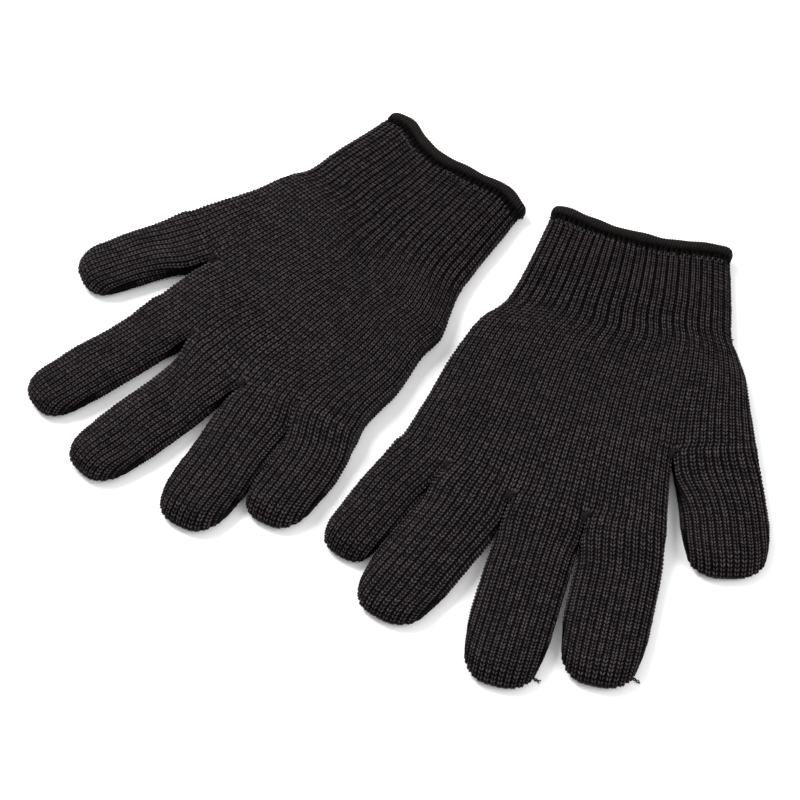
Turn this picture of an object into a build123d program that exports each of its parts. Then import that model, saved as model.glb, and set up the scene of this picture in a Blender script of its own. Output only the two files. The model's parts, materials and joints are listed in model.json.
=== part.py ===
from build123d import *
import os
from math import atan2, cos, degrees, hypot, sin

# A pair of knitted work gloves lying palm up, side by side. Millimetres, +Z up, table at z = 0.
# Every glove is drawn in its own frame: x toward the thumb, y from the cuff hem to the
# fingertips, z up out of the palm. The pair is then set down and centred over the origin.

os.makedirs("parts", exist_ok=True)

FINGER_THICK = 9.0
FINGER_WALL = 1.5
PALM_THICK = 11.0
PALM_WALL = 1.7
WRIST_THICK = 10.0
CUFF_THICK = 9.0
CUFF_WALL = 1.5
CUFF_LIFT = 0.5
HEM_THICK = 10.0
HEM_DEPTH = 4.5
STITCH_DEPTH = 2.0
STITCH_THICK = 0.4
ELASTIC_THICK = 0.5
ELASTIC_DEPTH = 0.8
ELASTIC_PITCH = 6.0
ELASTIC_COUNT = 7
JOINT_GAP = 0.3
KNOT_RADIUS = 2.0
KNOT_HEIGHT = 1.1
YARN_RADIUS = 0.6
YARN_GAP = 0.02

# One entry per glove. "hem" is the middle of the cuff opening and "turn" the angle of the
# glove's own x axis, both on the table. Rows of "cuff", "heel" and "hand" are (y, x on the
# little finger side, x on the thumb side). A finger is (x and y of a point on its centre
# line, x and y of its tip, width, y of its knuckle line, distances from the knuckle to the
# next joints).
GLOVES = {
    "left": {
        "mirror": -1,
        "hem": (109.25, 96.9),
        "turn": 163.02,
        "wrist": 56.0,
        "hem_half": 39.0,
        "cuff": [(4.5, -38.6, 38.6), (20.0, -40.0, 42.0), (38.0, -42.6, 46.5), (50.0, -44.4, 50.6)],
        "heel": [
            (50.0, -44.4, 50.6),
            (62.0, -49.5, 57.0),
            (75.0, -56.5, 63.0),
            (90.0, -60.2, 69.0),
            (106.0, -62.8, 74.4),
            (119.0, -65.2, 78.4),
        ],
        "hand": [(98.0, -61.5, 41.0), (119.0, -65.2, 42.0), (136.0, -68.4, 44.2), (156.0, -75.0, 46.4)],
        "fingers": {
            "index_finger": (30.2, 160.0, 34.4, 230.5, 32.0, 168.0, (24.5, 44.0)),
            "middle_finger": (-3.0, 165.0, -2.8, 241.3, 32.0, 168.5, (28.5, 51.0)),
            "ring_finger": (-33.0, 157.0, -53.5, 226.5, 29.0, 168.0, (24.0, 42.5)),
            "little_finger": (-61.3, 152.0, -79.0, 204.0, 25.0, 161.5, (20.0, 32.0)),
            "thumb": (60.0, 117.0, 75.3, 168.0, 34.0, 129.5, (22.0,)),
        },
        "knots": [(39.0, 116.0), (14.0, 152.0), (-18.5, 152.0), (-49.0, 149.0)],
        "yarn_ends": {"index_finger": (1, 3.0), "middle_finger": (1, 2.5)},
        "hem_end": (-1, 3.5),
        "wrist_end": (1, 3.5),
    },
    "right": {
        "mirror": 1,
        "hem": (27.82, 138.59),
        "turn": 134.16,
        "wrist": 56.0,
        "hem_half": 40.5,
        "cuff": [(4.5, -40.8, 40.4), (20.0, -46.0, 40.8), (38.0, -50.2, 42.0), (50.0, -53.2, 43.0)],
        "heel": [
            (50.0, -53.2, 43.0),
            (62.0, -58.0, 46.0),
            (75.0, -64.5, 49.6),
            (90.0, -68.8, 55.0),
            (106.0, -73.4, 60.6),
            (122.0, -76.8, 65.8),
        ],
        "hand": [(98.0, -71.4, 30.0), (122.0, -76.8, 31.0), (138.0, -79.4, 32.2), (153.2, -83.8, 33.4)],
        "fingers": {
            "index_finger": (20.2, 160.0, 27.4, 227.5, 27.5, 167.0, (24.0, 42.5)),
            "middle_finger": (-11.5, 165.0, -12.4, 233.8, 29.5, 168.5, (25.5, 45.5)),
            "ring_finger": (-41.8, 160.0, -61.8, 223.0, 28.4, 168.0, (22.5, 40.5)),
            "little_finger": (-70.0, 152.0, -84.7, 197.0, 25.2, 158.5, (19.0, 29.5)),
            "thumb": (47.8, 117.0, 66.5, 170.0, 29.5, 131.5, (20.0,)),
        },
        "knots": [(30.0, 119.0), (5.0, 152.0), (-28.0, 152.0), (-54.0, 148.0)],
        "yarn_ends": {"index_finger": (1, 3.0), "thumb": (1, 3.0)},
        "hem_end": (-1, 3.0),
        "wrist_end": None,
    },
}

# How far a fingertip has closed in: (distance back from the tip in widths, width, thickness).
TIP_SHAPE = [
    (0.42, 1.0, 1.0),
    (0.26, 0.965, 1.0),
    (0.14, 0.885, 0.985),
    (0.06, 0.785, 0.91),
    (0.0, 0.62, 0.66),
]


def slot(point, along, wide, high):
    """A flat oval facing along the given direction, the round cross-section of a knit tube."""
    across = (along[1], -along[0], 0)
    here = Plane(origin=point, x_dir=across, z_dir=(along[0], along[1], 0))
    return here * SlotOverall(wide, high)


def hull(rows, shrink):
    """A tube body through rows of (y, x low, x high, z low, thickness), shrunk all round."""
    faces = []
    for y, low, high, lift, thick in rows:
        centre = ((low + high) / 2, y, lift + thick / 2)
        faces.append(slot(centre, (0, 1), high - low - 2 * shrink, thick - 2 * shrink))
    return loft(faces, ruled=True)


def finger_rows(length, width):
    """Stations along a finger: (distance from its start, width, thickness)."""
    rows = [(0.0, width, FINGER_THICK)]
    for back, wide, high in TIP_SHAPE:
        rows.append((length - back * width, width * wide, FINGER_THICK * high))
    return rows


def finger_body(start, along, length, width, shrink):
    """The whole finger as one body; shrink gives the space inside it."""
    faces = []
    for far, wide, high in finger_rows(length - shrink, width):
        point = (start[0] + along[0] * far, start[1] + along[1] * far, FINGER_THICK / 2)
        faces.append(slot(point, along, wide - 2 * shrink, high - 2 * shrink))
    return loft(faces, ruled=True)


def joint_cut(point, along, radius, wide):
    """The space swept free at a joint: the moving end is round, the fixed end is flat."""
    angle = degrees(atan2(along[1], along[0]))
    reach = radius + JOINT_GAP
    block = Pos(-reach / 2, 0, 0) * Box(reach, wide, 2 * radius + 4)
    barrel = Rot(90, 0, 0) * Cylinder(radius, wide + 2)
    return Pos(point[0], point[1], radius) * Rot(0, 0, angle) * (block - barrel)


def in_order(shape, along):
    """The separate solids of a cut tube, from the palm outward."""
    def far(one):
        centre = one.center()
        return centre.X * along[0] + centre.Y * along[1]

    return sorted(shape.solids(), key=far)


def edge_point(rows, y, edge):
    """Where the side of a body is at y, on the thumb side (1) or little finger side (-1)."""
    column = 2 if edge > 0 else 1
    for low, high in zip(rows, rows[1:]):
        if low[0] <= y <= high[0]:
            share = (y - low[0]) / (high[0] - low[0])
            return low[column] + (high[column] - low[column]) * share
    return rows[-1][column]


def strand(point, along, length):
    """A short straight yarn end leaving from a point."""
    here = Plane(origin=point, z_dir=(along[0], along[1], along[2]))
    return here * Cylinder(YARN_RADIUS, length, align=(Align.CENTER, Align.CENTER, Align.MIN))


def build_glove(spec):
    """Every piece of one glove in its own frame, as {name: shape}."""
    side = spec["mirror"]
    pieces = {}

    def flip(rows):
        if side > 0:
            return rows
        return [(y, -high, -low) for y, low, high in rows]

    cuff = flip(spec["cuff"])
    heel = flip(spec["heel"])
    hand = flip(spec["hand"])
    wrist = spec["wrist"]
    radius = WRIST_THICK / 2

    last = cuff[-1]
    cuff_rows = []
    for y, low, high in cuff:
        share = (y - cuff[0][0]) / (last[0] - cuff[0][0])
        lift = CUFF_LIFT * (1 - share)
        thick = CUFF_THICK + (WRIST_THICK - CUFF_THICK) * share
        cuff_rows.append((y, low, high, lift, thick))
    wide = heel[1]
    share = (wrist - heel[0][0]) / (wide[0] - heel[0][0])
    wrist_low = heel[0][1] + (wide[1] - heel[0][1]) * share
    wrist_high = heel[0][2] + (wide[2] - heel[0][2]) * share
    cuff_rows.append((wrist + radius, wrist_low, wrist_high, 0.0, WRIST_THICK))
    cuff_shell = hull(cuff_rows, 0) - hull(cuff_rows, CUFF_WALL)
    cut = joint_cut((0, wrist), (0, -1), radius, 160)
    cut_cuff = in_order(cuff_shell - cut, (0, -1))
    pieces["cuff"] = cut_cuff[-1]

    half = spec["hem_half"]
    mouth = cuff_rows[0]
    inside = (mouth[1], mouth[2], mouth[3], mouth[4])
    hem_out = hull([(0.0, -half, half, 0.0, HEM_THICK), (HEM_DEPTH, -half, half, 0.0, HEM_THICK)], 0)
    hem_in = hull([(0.0,) + inside, (HEM_DEPTH,) + inside], CUFF_WALL)
    pieces["hem"] = hem_out - hem_in

    band = [row for row in cuff_rows[:2]]
    ring = hull(band, -STITCH_THICK) - hull(band, 0)
    keep = Pos(0, HEM_DEPTH + STITCH_DEPTH / 2, 0) * Box(200, STITCH_DEPTH, 60)
    pieces["hem_stitching"] = ring & keep

    lining = hull(cuff_rows, CUFF_WALL) - hull(cuff_rows, CUFF_WALL + ELASTIC_THICK)
    slices = None
    for number in range(ELASTIC_COUNT):
        y = HEM_DEPTH + 4.0 + number * ELASTIC_PITCH
        one = Pos(0, y, 0) * Box(200, ELASTIC_DEPTH, 60)
        slices = one if slices is None else slices + one
    pieces["cuff_elastic"] = lining & slices

    heel_rows = [(heel[0][0], heel[0][1], heel[0][2], 0.0, WRIST_THICK)]
    heel_rows.append((heel[1][0], heel[1][1], heel[1][2], 0.0, WRIST_THICK))
    for y, low, high in heel[2:]:
        heel_rows.append((y, low, high, 0.0, PALM_THICK))
    hand_rows = [(y, low, high, 0.0, PALM_THICK) for y, low, high in hand]
    last = hand_rows[-1]
    inner_hand = hand_rows[:-1] + [(last[0] - PALM_WALL, last[1], last[2], 0.0, PALM_THICK)]
    last = heel_rows[-1]
    inner_heel = heel_rows[:-1] + [(last[0] - PALM_WALL, last[1], last[2], 0.0, PALM_THICK)]
    palm = hull(heel_rows, 0) + hull(hand_rows, 0)
    hollow = hull(inner_heel, PALM_WALL) + hull(inner_hand, PALM_WALL)

    grip = FINGER_THICK / 2
    for name, (x, y, tip_x, tip_y, width, knuckle, joints) in spec["fingers"].items():
        x = x * side
        tip_x = tip_x * side
        span = hypot(tip_x - x, tip_y - y)
        along = ((tip_x - x) / span, (tip_y - y) / span)
        lead = 24.0
        start = (x - along[0] * lead, y - along[1] * lead)
        length = span + lead
        outside = finger_body(start, along, length, width, 0)
        space = finger_body(start, along, length, width, FINGER_WALL)
        to_knuckle = (knuckle - y) / along[1]
        pivot = (x + along[0] * to_knuckle, knuckle)
        knuckle_cut = joint_cut(pivot, (0, 1), grip, width * 1.6)
        stub = Pos(pivot[0], knuckle - grip - JOINT_GAP - 50, 0) * Box(90, 100, 60)
        palm = palm + (outside & stub)
        hollow = hollow + space
        cuts = knuckle_cut
        for far in joints:
            point = (pivot[0] + along[0] * far, pivot[1] + along[1] * far)
            cuts = cuts + joint_cut(point, along, grip, width * 1.3)
        parts = in_order((outside - space) - cuts, along)[1:]
        labels = ["base", "tip"] if len(parts) == 2 else ["base", "centre", "tip"]
        for label, part in zip(labels, parts):
            pieces[name + "_" + label] = part
        if name in spec["yarn_ends"]:
            edge, long = spec["yarn_ends"][name]
            rows = finger_rows(length, width)
            station = rows[2]
            out = (along[1] * edge * side, -along[0] * edge * side)
            reach = station[1] / 2 + YARN_GAP
            far = station[0]
            point = (
                start[0] + along[0] * far + out[0] * reach,
                start[1] + along[1] * far + out[1] * reach,
                grip,
            )
            pieces[name + "_yarn_end"] = strand(point, (out[0], out[1], 0), long)

    wrist_cut = Pos(0, wrist + radius + JOINT_GAP - 100, 0) * Box(300, 200, 60)
    pieces["palm"] = (palm - hollow) - wrist_cut

    knots = None
    ball = (KNOT_RADIUS ** 2 + KNOT_HEIGHT ** 2) / (2 * KNOT_HEIGHT)
    for x, y in spec["knots"]:
        centre = Pos(x * side, y, PALM_THICK + KNOT_HEIGHT - ball)
        above = Pos(x * side, y, PALM_THICK + 5) * Box(20, 20, 10)
        dome = (centre * Sphere(ball)) & above
        knots = dome if knots is None else knots + dome
    pieces["crotch_stitches"] = knots

    edge, long = spec["hem_end"]
    edge = edge * side
    point = (edge * (half + YARN_GAP), HEM_DEPTH / 2, HEM_THICK / 2)
    pieces["hem_yarn_end"] = strand(point, (edge, 0, 0), long)
    if spec["wrist_end"]:
        edge, long = spec["wrist_end"]
        edge = edge * side
        y = wrist - 9.0
        x = edge_point(cuff, y, edge)
        point = (x + edge * (YARN_GAP + 0.25), y, WRIST_THICK / 2)
        pieces["wrist_yarn_end"] = strand(point, (edge, 0.3, 0), long)
    return pieces


nodes = {}
for glove, spec in GLOVES.items():
    place = Pos(spec["hem"][0], spec["hem"][1], 0) * Rot(0, 0, spec["turn"])
    for name, shape in build_glove(spec).items():
        nodes[glove + "_" + name] = place * shape

lows = [shape.bounding_box().min for shape in nodes.values()]
highs = [shape.bounding_box().max for shape in nodes.values()]
CENTRE_X = (min(p.X for p in lows) + max(p.X for p in highs)) / 2
CENTRE_Y = (min(p.Y for p in lows) + max(p.Y for p in highs)) / 2
BOTTOM_Z = min(p.Z for p in lows)

for name, shape in nodes.items():
    export_step(Pos(-CENTRE_X, -CENTRE_Y, -BOTTOM_Z) * shape, f"parts/{name}.step")
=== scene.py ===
import json
import math

import bpy
import numpy as np
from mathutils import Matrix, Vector


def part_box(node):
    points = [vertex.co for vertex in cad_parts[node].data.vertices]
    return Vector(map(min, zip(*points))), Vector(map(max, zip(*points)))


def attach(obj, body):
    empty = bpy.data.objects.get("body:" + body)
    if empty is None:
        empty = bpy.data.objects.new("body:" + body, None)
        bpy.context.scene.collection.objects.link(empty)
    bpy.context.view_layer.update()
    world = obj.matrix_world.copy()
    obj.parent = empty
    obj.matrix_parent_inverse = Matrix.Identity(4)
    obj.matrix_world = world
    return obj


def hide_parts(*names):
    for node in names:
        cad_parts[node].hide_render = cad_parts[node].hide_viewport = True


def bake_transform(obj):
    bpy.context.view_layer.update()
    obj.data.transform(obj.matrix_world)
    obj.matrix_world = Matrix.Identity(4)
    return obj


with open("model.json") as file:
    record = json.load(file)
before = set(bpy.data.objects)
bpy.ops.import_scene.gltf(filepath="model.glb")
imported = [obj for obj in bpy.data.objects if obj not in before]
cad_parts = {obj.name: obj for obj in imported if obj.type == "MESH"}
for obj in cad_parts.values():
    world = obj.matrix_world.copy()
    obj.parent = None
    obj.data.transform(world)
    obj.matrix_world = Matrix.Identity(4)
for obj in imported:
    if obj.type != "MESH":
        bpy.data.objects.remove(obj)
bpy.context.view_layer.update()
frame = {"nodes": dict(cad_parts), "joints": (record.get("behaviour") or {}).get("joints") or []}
JOINTS = {joint["name"]: joint for joint in frame["joints"]}
MM = 0.001

# The camera looks down at the table from the fingertip side.
CAMERA_PLACE = (0.005125, -0.50423, 0.69112)
CAMERA_TILT = 35.5
CAMERA_LENS = 89.0
camera_data = bpy.data.cameras.new("camera")
camera_data.lens = CAMERA_LENS
camera_data.sensor_width = 36.0
camera = bpy.data.objects.new("camera", camera_data)
camera.location = CAMERA_PLACE
camera.rotation_euler = (math.radians(CAMERA_TILT), 0.0, 0.0)
bpy.context.scene.collection.objects.link(camera)
bpy.context.scene.camera = camera

# A glove is worked out in its own frame, in millimetres: x toward the thumb, y from the hem
# to the fingertips, z up out of the palm. The knit is laid out in wales (columns of
# stitches) and courses (rows of stitches).
WRIST_FROM_HEM = 56.0
CUFF_END = 57.0
HEEL_END = 75.0
HEM_ROW = 4.2
CUFF_COURSE = 1.87
PALM_COURSE = 1.93
FINGER_COURSE = 1.65
FINGER_FULLNESS = 1.05
HAND_WALES = 43
BODY_WALES = 54
FINGER_WALES = {"little": (0, 10), "ring": (10, 20), "middle": (20, 31), "index": (31, 43)}
THUMB_WALES = (43, 54)
FINGER_NAMES = ["little", "ring", "middle", "index"]
# Wales that a tube gains past its fork, on its little finger side and on its thumb side.
EXTRA_WALES = {"little": (0, 1), "ring": (1, 1), "middle": (1, 1), "index": (1, 0), "thumb": (2, 0)}
# Course numbers of the pieces past the cuff, so that their yarn differs from piece to piece.
HAND_COURSES_FROM = 80
FINGER_COURSES_FROM = 100
THUMB_COURSES_FROM = 60

# Mesh columns to a wale, on top and underneath, and mesh rows to a course.
STEPS_TOP = 6
STEPS_UNDER = {"body": 3, "finger": 4}
ROWS_PER_COURSE = 3
TINY = 1e-6

# Heights and thicknesses of the flattened tubes, before their stitches are raised.
FLOOR_GAP = 0.9
LOWEST = 0.05
PALM_THICK = 10.4
WRIST_THICK = 9.6
CUFF_THICK = 8.4
FINGER_THICK = 8.2
TOP_SHARE = 0.58
KNIT_WALL = 1.25
CLOTH_WAVE = 0.55
FINGER_WAVE = 0.35

# Stitches: their height, how far their legs slant in courses, and the spacing of rows
# below which they flatten.
RELIEF = 0.95
CHEVRON = 1.5
FULL_SPACING = 1.3

# Cuff ribs. They fade out past RIB_END, the latest at the wale RIB_LONGEST.
RIB_DEPTH = 0.4
RIB_LONGEST = 26
RIB_END = 54.0
RIB_FADE = 16.0
RIB_FADE_MORE = 26.0
RIB_FADE_WALES = 6.0
SAG_REACH = 44.0

# Hem roll, wound with yarn, the row of stitches under it, and the elastic rings.
# HEM_SHADE is painted shade on the knit next to the hem roll, on its fingertip side: full for
# HEM_SHADE_DEPTH past the hem row, then fading out over HEM_SHADE_FADE.
HEM_SHADE = 0.55
HEM_SHADE_DEPTH = 3.0
HEM_SHADE_FADE = 4.0
HEM_STEP = 0.42
HEM_RIDGE = 0.34
HEM_HALF_THICK = 1.6
HEM_HALF_DEPTH = 2.7
HEM_BACK = 1.1
HEM_SIDES = 12
HEM_STITCH_PITCH = 2.35
RING_COUNT = 7
RING_FIRST = 9.0
RING_PITCH = 5.0
YARN_SIDES = 6

# Loose yarn ends: how far behind and how much longer than their CAD stand-ins.
TAIL_BACK = 4.5
TAIL_LONGER = 3.5

# Where a finger is cut into pieces, and where each piece's bend would start and end, though no bend is
# made: distances past a joint, or shares of the way to the next one where that is less.
CUT_PAST = 13.0
CUT_SHARE = 0.8
BEND_FROM = 1.5
BEND_BEFORE_CUT = 1.3
TIP_BEND_PAST = 11.5
TIP_BEND_SHARE = 0.75

# Forks between the fingers.
FORK_LENGTH = 6.0
FORK_EVEN = 0.85
FORK_FADE = 16.0
MAX_POWER = 5.0

# Distances from a finger's or the thumb's root over which its new wales grow, its width
# settles and its middle line straightens, and the distances that fingers and thumb share.
FINGER_EASES = {"grow": 22.0, "width": 12.0, "line": 15.0}
THUMB_EASES = {"grow": 34.0, "width": 26.0, "line": 36.0}
THICK_EASE = 14.0
TURN_EASE = 24.0
BOW_EASE = 26.0

# Rounded, closed fingertips.
TIP_ROUND = 14.0
TIP_ROUND_WIDTH = 16.0
TIP_POWER = 3.1
TIP_FINER = 0.05
TIP_FINER_FROM = 0.7
TIP_SQUEEZE = 36.0
TIP_CLOSE = 9.0
TIP_DROP = 0.45

# An edge is a list of (x, y), smooth in between. A row is the crotches and the outer edges
# that a fork runs through, and "sag" is how far the hem is drawn toward the fingertips at
# each x. A shape is a finger's half width, its lean at the tip, its added length and its bow
# near the root, and "corners" is how rounded the little finger's side and the thumb's side
# of a tip are, for the fingers and for the thumb.
GLOVES = {
    "left": {
        "side": -1,
        "little_edge": [
            (-38.9, -0.6), (-40.8, 20.0), (-45.3, 55.0), (-48.6, 64.3), (-53.9, 72.5), (-59.2, 88.2),
            (-63.1, 107.5), (-65.9, 124.0), (-69.5, 142.1), (-71.5, 146.5),
        ],
        "thumb_edge": [
            (40.6, 0.65), (45.2, 20.0), (48.8, 38.0), (52.4, 54.0), (56.4, 60.5), (60.8, 69.5),
            (67.6, 88.3), (74.3, 108.0),
        ],
        "upper_edge": [(40.9, 120.1), (42.0, 130.0), (44.3, 145.0), (46.8, 158.6)],
        "sag": [(-38.9, -0.4), (-20.0, 4.1), (0.0, 6.3), (20.0, 5.3), (40.6, 1.9)],
        "finger_row": [(-71.5, 146.5), (-47.5, 153.1), (-18.2, 159.8), (13.6, 160.6), (46.8, 158.6)],
        "thumb_row": [(40.9, 120.1), (74.3, 108.0)],
        "little_drop": 5.0,
        "corners": [(1.2, 0.8), (0.75, 0.75)],
        "hand_courses": 20,
        "shape": {
            "little": (12.0, -0.2, -1.2, 0.0), "ring": (16.8, -2.4, -0.4, 1.6),
            "middle": (16.3, -0.3, 0.0, 0.0), "index": (16.7, -0.2, -0.3, 1.0),
            "thumb": (17.5, -0.2, -0.5, 0.6),
        },
    },
    "right": {
        "side": 1,
        "little_edge": [
            (-40.5, -1.4), (-46.3, 21.7), (-50.0, 38.2), (-55.3, 57.1), (-63.5, 72.6), (-67.3, 79.9),
            (-68.6, 91.9), (-74.9, 112.1), (-78.5, 136.0), (-81.4, 142.5),
        ],
        "thumb_edge": [
            (39.8, 1.4), (42.0, 42.8), (42.9, 57.1), (45.7, 63.6), (50.2, 81.8), (61.9, 115.4),
        ],
        "upper_edge": [(32.1, 124.3), (33.0, 140.0), (33.4, 157.0)],
        "sag": [
            (-40.5, -0.6), (-30.8, -2.3), (-18.3, 0.3), (-7.1, 2.6), (1.8, 5.1), (16.2, 4.3),
            (30.5, 0.1), (39.8, 1.6),
        ],
        "finger_row": [(-81.4, 142.5), (-53.1, 151.4), (-28.5, 160.6), (6.0, 158.4), (33.4, 157.0)],
        "thumb_row": [(32.1, 124.3), (61.9, 115.4)],
        "little_drop": 8.0,
        "corners": [(1.4, 0.8), (0.95, 0.8)],
        "hand_courses": 19,
        "shape": {
            "little": (14.3, 0.4, 0.3, -1.8), "ring": (15.7, 0.6, 0.0, 0.0),
            "middle": (14.7, 0.3, 1.8, -1.6), "index": (13.3, 0.0, 0.8, 0.6),
            "thumb": (14.1, 0.7, 0.8, 2.2),
        },
    },
}


def ease(value):
    """0 below 0, 1 above 1, and smooth between."""
    held = np.clip(value, 0.0, 1.0)
    return held * held * (3.0 - 2.0 * held)


def curve_through(known, wanted, at):
    """A smooth curve through the points (known, wanted), read at the given places."""
    known = np.asarray(known, float)
    wanted = np.asarray(wanted, float)
    at = np.asarray(at, float)
    step = np.diff(wanted) / np.diff(known)
    slope = np.concatenate([step[:1], step, step[-1:]])
    slope = (slope[:-1] + slope[1:]) / 2
    span = np.clip(np.searchsorted(known, at) - 1, 0, len(known) - 2)
    width = known[span + 1] - known[span]
    part = np.clip((at - known[span]) / width, 0.0, 1.0)
    rise = wanted[span + 1] - wanted[span]
    start = slope[span] * width - rise
    end = rise - slope[span + 1] * width
    bend = part * (1 - part) * ((1 - part) * start + part * end)
    return wanted[span] + rise * part + bend


def edge_at(edge, y):
    """How far across the glove an edge is at a distance y from the hem."""
    across = [point[0] for point in edge]
    along = [point[1] for point in edge]
    return float(curve_through(along, across, y))


class Glove:
    """One glove: where its own frame lies in the row frame, and its measures."""

    def __init__(self, name):
        self.name = name
        self.plan = GLOVES[name]
        self.side = self.plan["side"]
        wrist = JOINTS[name + "_wrist"]
        axis = wrist["axis"]
        self.ahead = np.array([axis[1], -axis[0]])
        self.across = np.array([self.ahead[1], -self.ahead[0]]) * self.side
        centre = np.array(wrist["pos_m"][:2]) / MM
        self.hem = centre - self.ahead * WRIST_FROM_HEM
        self.seed = 11 if name == "left" else 23
        self.puffs = waves(self.seed, 7, 24.0, 70.0)

    def world(self, points):
        """Points of the glove's frame, as metres in the row frame."""
        points = np.asarray(points, float)
        flat = self.hem + points[..., :1] * self.across + points[..., 1:2] * self.ahead
        return np.concatenate([flat, points[..., 2:3]], axis=-1) * MM

    def local(self, place):
        """A place in the row frame, in the glove's own frame."""
        offset = np.asarray(place[:2], float) / MM - self.hem
        return np.array([offset @ self.across, offset @ self.ahead])

    def joint(self, name):
        """Where one of the glove's joints is, in its own frame."""
        return self.local(JOINTS[self.name + "_" + name]["pos_m"])

    def node_points(self, node):
        """The points of one of the glove's CAD objects, in its own frame."""
        vertices = frame["nodes"][self.name + "_" + node].data.vertices
        places = np.empty(len(vertices) * 3)
        vertices.foreach_get("co", places)
        places = places.reshape(-1, 3)
        offset = places[:, :2] / MM - self.hem
        return np.stack([offset @ self.across, offset @ self.ahead], axis=1)


def waves(seed, count, shortest, longest):
    """Plane waves of mixed directions, for gentle unevenness in the cloth."""
    rng = np.random.default_rng(seed)
    length = rng.uniform(shortest, longest, count)
    heading = rng.uniform(0, math.pi, count)
    offset = rng.uniform(0, 2 * math.pi, count)
    return list(zip(np.cos(heading) / length, np.sin(heading) / length, offset))


def unevenness(shape, x, y):
    """The waves added up at each point, evened out for their number."""
    total = np.zeros_like(x)
    for along_x, along_y, offset in shape:
        total += np.sin(2 * math.pi * (along_x * x + along_y * y) + offset)
    return total / math.sqrt(len(shape))


def oval(share, under, half, thick, fork, spread=None):
    """Points on a flattened oval, above and below, from the little finger side (share 0) to
    the thumb side (share 1). They stand at even steps of its arc. At a fork (fork 1) they
    stand nearly at the shares of its width that spread gives, or at even steps of it, and
    it is at its flattest."""
    spread = share if spread is None else spread
    across = np.empty_like(share)
    up = np.empty_like(share)
    even = FORK_EVEN * fork
    power = float(np.clip(2.0 + 0.22 * half / (thick / 2), 2.4, MAX_POWER))
    power += (MAX_POWER - power) * fork
    turn = np.linspace(0, math.pi, 181)
    wide = -np.sign(np.cos(turn)) * np.abs(np.cos(turn)) ** (2 / power)
    high = np.abs(np.sin(turn)) ** (2 / power)
    for is_under, depth in ((False, TOP_SHARE * thick), (True, (TOP_SHARE - 1) * thick)):
        step = np.hypot(np.diff(wide) * half, np.diff(high) * depth)
        arc = np.concatenate([[0.0], np.cumsum(step)])
        arc /= arc[-1]
        mine = under == is_under
        by_arc = np.interp(share[mine], arc, wide)
        across[mine] = np.clip(by_arc + (2 * spread[mine] - 1 - by_arc) * even, -1.0, 1.0)
        up[mine] = np.maximum(1 - np.abs(across[mine]) ** power, 0) ** (1 / power) * depth
    return across, up


def middle_height(thick):
    """Height of a lying tube's side edges above the table."""
    return FLOOR_GAP + (1 - TOP_SHARE) * thick


def lobes(wale, under, knots, thick, fork, spread=None):
    """A cross-section that closes to a point at each knot (wale, x, y) and is an oval between."""
    x = np.empty_like(wale)
    z = np.empty_like(wale)
    for (first, x0, y0), (last, x1, y1) in zip(knots, knots[1:]):
        inside = (wale >= first) & (wale <= last)
        share = (wale[inside] - first) / (last - first)
        half = math.hypot(x1 - x0, y1 - y0) / 2
        own_spread = None if spread is None else spread[inside]
        across, up = oval(share, under[inside], half, thick, fork, own_spread)
        x[inside] = (x0 + x1) / 2 + across * (x1 - x0) / 2
        z[inside] = middle_height(thick) + up
    return x, z


def knit_columns(first, last, kind):
    """Mesh columns round a tube: over the top to the thumb side, and back underneath.
    Gives each column's wale position, whether it is underneath, and a running number."""
    wales = last - first
    top = first + np.arange(wales * STEPS_TOP + 1) / STEPS_TOP
    steps = STEPS_UNDER[kind]
    below = last - np.arange(1, wales * steps + 1) / steps
    wale = np.concatenate([top, below])
    under = np.concatenate([np.zeros(len(top), bool), np.ones(len(below), bool)])
    number = np.concatenate([top - first, 2 * wales - (below - first)])
    return wale, under, number


def rib_layout(wale, strength):
    """Two wide wales and one narrow one, over and over, where the cuff is ribbed."""
    group = np.floor(wale / 3 + TINY)
    inside = wale - 3 * group
    moved = 3 * group + np.interp(inside, [0, 1, 2, 3], [0, 1.33, 2.66, 3])
    return wale + (moved - wale) * strength


def leg_height(number):
    """Height across a stitch: a groove between wales, and two raised legs."""
    inside = number - np.floor(number + TINY)
    places = [0.0, 0.167, 0.333, 0.5, 0.667, 0.833, 1.0]
    return np.interp(inside, places, [0.0, 0.65, 1.0, 0.3, 1.0, 0.65, 0.0])


def row_height(course):
    """Height along a wale: a dip where one stitch passes into the next."""
    inside = course - np.floor(course + TINY)
    return np.interp(inside, [0.0, 0.333, 0.667, 1.0], [0.3, 0.9, 1.0, 0.3])


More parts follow.
